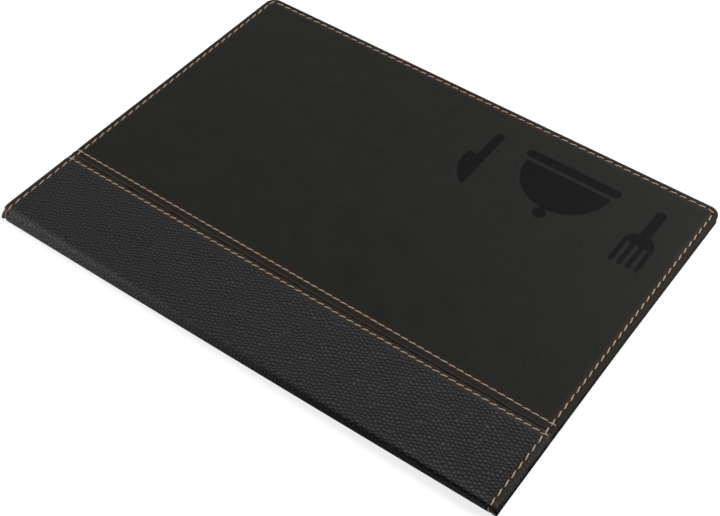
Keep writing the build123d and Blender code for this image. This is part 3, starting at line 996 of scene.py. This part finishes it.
for side, word in SIDES:
    cloth = cover_sheet(
        word + "_lining_cloth", MIDDLE + side * (MIDDLE - COVER), side, LINING_INSIDE,
        LINING_START, LINING_HEM, np.arange(6.0, 164.0, 4.0), np.arange(-112.0, 112.1, 4.0),
    )
    set_uv(cloth, places_of(cloth)[:, :2])
    cloth.data.materials.append(woven_lining)
    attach(cloth, word + "_cover")
    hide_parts(word + "_lining")

face = MIDDLE - COVER - 0.04
turns = np.radians(np.arange(0, 91, 10))
section = [(STRIP_FROM, face + 0.08), (STRIP_FROM - 0.05, face + 0.01), (STRIP_FROM - 0.3, face)]
section += [(x, face) for x in np.arange(6.5, 1.9, -0.35)]
section += zip(STRIP_WALL + STRIP_BEND * (1 - np.sin(turns)), face - STRIP_BEND * (1 - np.cos(turns)))
section = np.array(section + [(STRIP_WALL, 0.2), (STRIP_WALL, 0.0)])
along = np.arange(-STRIP_END, STRIP_END + 0.1, 1.5)
for side, word in SIDES:
    strip = swept(word + "_joint_strip", side, section, along)
    strip.data.materials.append(woven_lining)
    if side > 0:
        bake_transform(strip)
    else:
        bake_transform(strip)
    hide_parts("spine_lining")

# The back of the stitches: the same rows come through the linings.
for side, word in SIDES:
    face = MIDDLE + side * (MIDDLE - COVER + 0.1)
    path = edge_path(side)
    path[:, 2] = face
    path = path[path[:, 0] > FOLD_FROM]
    places = [(point, along, (0, 0, -side)) for point, along in along_edge(path, 0.5)]
    for x in (BAND_ROW_X, PANEL_ROW_X):
        places += along_seam(x, face, -side, 0.5)
    inner_rows = sew(word + "_inner_rows", places, 3.1, 5)
    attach(inner_rows, word + "_cover")


# Clear sleeve for two pages: each pocket is two films of soft clear plastic, welded together along
# fore-edge and tail, open at the head. The films lie nearly flat, with slow shallow waves.
SLEEVE_FROM = 5.8
SLEEVE_TO = 164.8
SLEEVE_END = 109.0
FILM = 0.1
WELD = 2.5
WELD_HEIGHT = 0.05
WELD_RIB = 0.02


def thicken(piece, thickness):
    """Gives a sheet its thickness in mm, on the side that its faces point away from."""
    select_only([piece])
    bpy.ops.object.modifier_add(type="SOLIDIFY")
    piece.modifiers[-1].thickness = thickness * MM
    piece.modifiers[-1].offset = -1
    bpy.ops.object.modifier_apply(modifier=piece.modifiers[-1].name)


# Clear soft vinyl, rolled smooth: to the eye it is glassy, and its slow waves bend reflections.
# Where a hot ribbed bar has welded it, it is milky and uneven.
films = {}
for name, scale, detail, relief, depth, tint, roughness, clearness in (
    ("clear_film", 1 / 0.045, 1.0, 0.5, 0.6, "f4f7f7", 0.06, 1.0),
    ("welded_film", 1 / 0.0008, 2.0, 0.6, 0.03, "dfe3e4", 0.3, 0.75),
):
    films[name], tree, surface = new_material(name, "Object")
    inputs = {"Vector": surface, "Scale": scale, "Detail": detail}
    waves = add_node(tree, "ShaderNodeTexNoise", inputs)
    inputs = {"Height": waves.outputs[0], "Strength": relief, "Distance": depth * MM}
    bump = add_node(tree, "ShaderNodeBump", inputs)
    shader = add_node(
        tree, "ShaderNodeBsdfPrincipled",
        {"Base Color": linear(tint), "Roughness": roughness, "IOR": 1.46,
         "Transmission Weight": clearness, "Normal": bump.outputs[0]},
    )
    add_node(tree, "ShaderNodeOutputMaterial", {"Surface": shader.outputs[0]})

for side, body in ((1, "front_leaf"), (-1, "back_cover")):
    word = body.split("_")[0]
    for film_word, outer in (("outer", 0.62), ("inner", 0.42)):
        x = np.concatenate((
            np.arange(SLEEVE_FROM, 158.0, 6.0), np.linspace(161.0, SLEEVE_TO, 6)
        ))
        y = np.concatenate((
            np.linspace(-SLEEVE_END, -105.0, 6), np.arange(-99.0, 105.0, 6.0), (SLEEVE_END,)
        ))
        x, y = np.meshgrid(x, y)
        free = smoothstep(SLEEVE_FROM, 20, x) * (1 - smoothstep(150, 162, x))
        wave = 0.02 * free * np.sin(x / 17 + side) * np.cos(y / 23 + outer * 9)
        height = MIDDLE + side * (outer + (wave if film_word == "outer" else -wave))
        places = np.stack((x, y, height), axis=-1)
        film = grid_piece(f"{word}_pocket_{film_word}_film", places, side > 0)
        thicken(film, FILM)
        film.data.materials.append(films["clear_film"])
        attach(film, body)
        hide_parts(f"{word}_sleeve_{film_word}_film")

    bars = []
    for start, end, across_from, upright in (
        (-SLEEVE_END, SLEEVE_END, SLEEVE_TO - WELD, True),
        (11.3, SLEEVE_TO - WELD, -SLEEVE_END, False),
    ):
        along = np.arange(start, end + 0.01, 0.4)
        across = across_from + np.array((0, 0.15, WELD - 0.15, WELD))
        rib = WELD_RIB * (-1.0) ** np.arange(len(along))
        rise = np.array((0.0, 1.0, 1.0, 0.0)) * (0.045 + rib)[:, np.newaxis]
        x, y = np.meshgrid(across, along)
        if not upright:
            x, y = y, x
        places = np.stack((x, y, MIDDLE + side * (0.47 + rise)), axis=-1)
        bar = grid_piece(word + "_weld", places, (side > 0) == upright)
        thicken(bar, WELD_HEIGHT)
        bars.append(bar)
    weld = join(bars, word + "_pocket_weld")
    weld.data.materials.append(films["welded_film"])
    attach(weld, body)
    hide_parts(word + "_sleeve_weld")


# Elastic: a thin round cord of rubber threads in a black polyester braid runs along the inside of
# the spine, through a hole near each end. To the eye it is dull black with fine slanting ridges.
ELASTIC_X = 2.1
ELASTIC_RADIUS = 0.4
HOLE_Y = 113.5

elastic, tree, surface = new_material("braided_elastic", "Object")
braid = add_node(
    tree, "ShaderNodeTexWave", {"Vector": surface, "Scale": 1 / 0.0009, "Distortion": 0.4},
    bands_direction="DIAGONAL",
)
two_toned(
    tree, braid.outputs["Fac"], ("0f0f10", "2b2b2d"), (0.7, 0.06),
    {"Roughness": 0.6, "Specular IOR Level": 0.3},
)

bpy.ops.object.select_all(action="DESELECT")
bpy.ops.curve.primitive_nurbs_path_add()
route = bpy.context.object
route.data.splines.clear()
line = route.data.splines.new("NURBS")
points = ((0.85, HOLE_Y), (1.4, HOLE_Y), (ELASTIC_X, HOLE_Y), (ELASTIC_X, HOLE_Y - 0.7),
          (ELASTIC_X, HOLE_Y - 3.0))
points += tuple((x, -y) for x, y in reversed(points))
line.points.add(len(points) - 1)
for point, (x, y) in zip(line.points, points):
    point.co = (*in_frame(x, y, MIDDLE), 1)
line.order_u = 3
line.use_endpoint_u = True
route.data.bevel_depth = ELASTIC_RADIUS * MM
route.data.bevel_resolution = 3
route.data.use_fill_caps = True
bpy.ops.object.convert(target="MESH")
cord = bpy.context.object
cord.name = "spine_elastic"
cord.data.materials.clear()
cord.data.materials.append(elastic)
bpy.ops.object.shade_smooth()
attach(cord, "spine")
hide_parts("elastic_cord")


# Barbs on the ends of the elastic: nickel-plated steel, stamped from sheet and closed on the cord.
# To the eye they are bright and faintly yellow, and more worn in places.
plated, tree, surface = new_material("nickel_plated_steel", "Object")
wear_and_sheen = add_node(tree, "ShaderNodeTexNoise", {"Vector": surface, "Scale": 1 / 0.002})
gloss = add_node(
    tree, "ShaderNodeMapRange", {"Value": wear_and_sheen.outputs[0], 1: 0.3, 2: 0.7, 3: 0.25, 4: 0.4}
)
shader = add_node(
    tree, "ShaderNodeBsdfPrincipled",
    {"Base Color": linear("c9c6bf"), "Metallic": 1.0, "Roughness": gloss.outputs[0]},
)
add_node(tree, "ShaderNodeOutputMaterial", {"Surface": shader.outputs[0]})
finish_node("cord_barbs", plated)


# Binding tape: woven black polyester, folded lengthwise round the elastic and welded into the
# sleeve, which it holds. To the eye it is dull, with ribs across it 0.7 mm apart.
TAPE = 0.08
TAPE_TURN = 0.47  # radius of its fold round the elastic
TAPE_GAP = 0.04  # from the middle to each half
TAPE_RIB = 0.0007

binding_tape, tree, surface = new_material("woven_binding_tape", "UV")
height = cloth_threads(tree, surface, (1,), TAPE_RIB)
two_toned(
    tree, height, ("0e0e0f", "1f1f20"), (0.6, 0.06),
    {"Roughness": 0.7, "Specular IOR Level": 0.25, "Sheen Weight": 0.2},
)

turns = np.radians(np.arange(0, 91, 10))
section = list(zip(ELASTIC_X - TAPE_TURN * np.cos(turns), TAPE_TURN * np.sin(turns) + TAPE_GAP))
section += [(x, TAPE_TURN + TAPE_GAP) for x in np.arange(2.4, 11.4, 0.4)]
section = np.array(section)
along = np.arange(-SLEEVE_END, SLEEVE_END + 0.1, 2.0)
for side, word in SIDES:
    tape = swept(word + "_tape", side, section, along)
    thicken(tape, TAPE)
    tape.data.materials.append(binding_tape)
    if side > 0:
        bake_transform(tape)
    else:
        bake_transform(tape)
    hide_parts(word + "_binding_tape", "binding_fold")
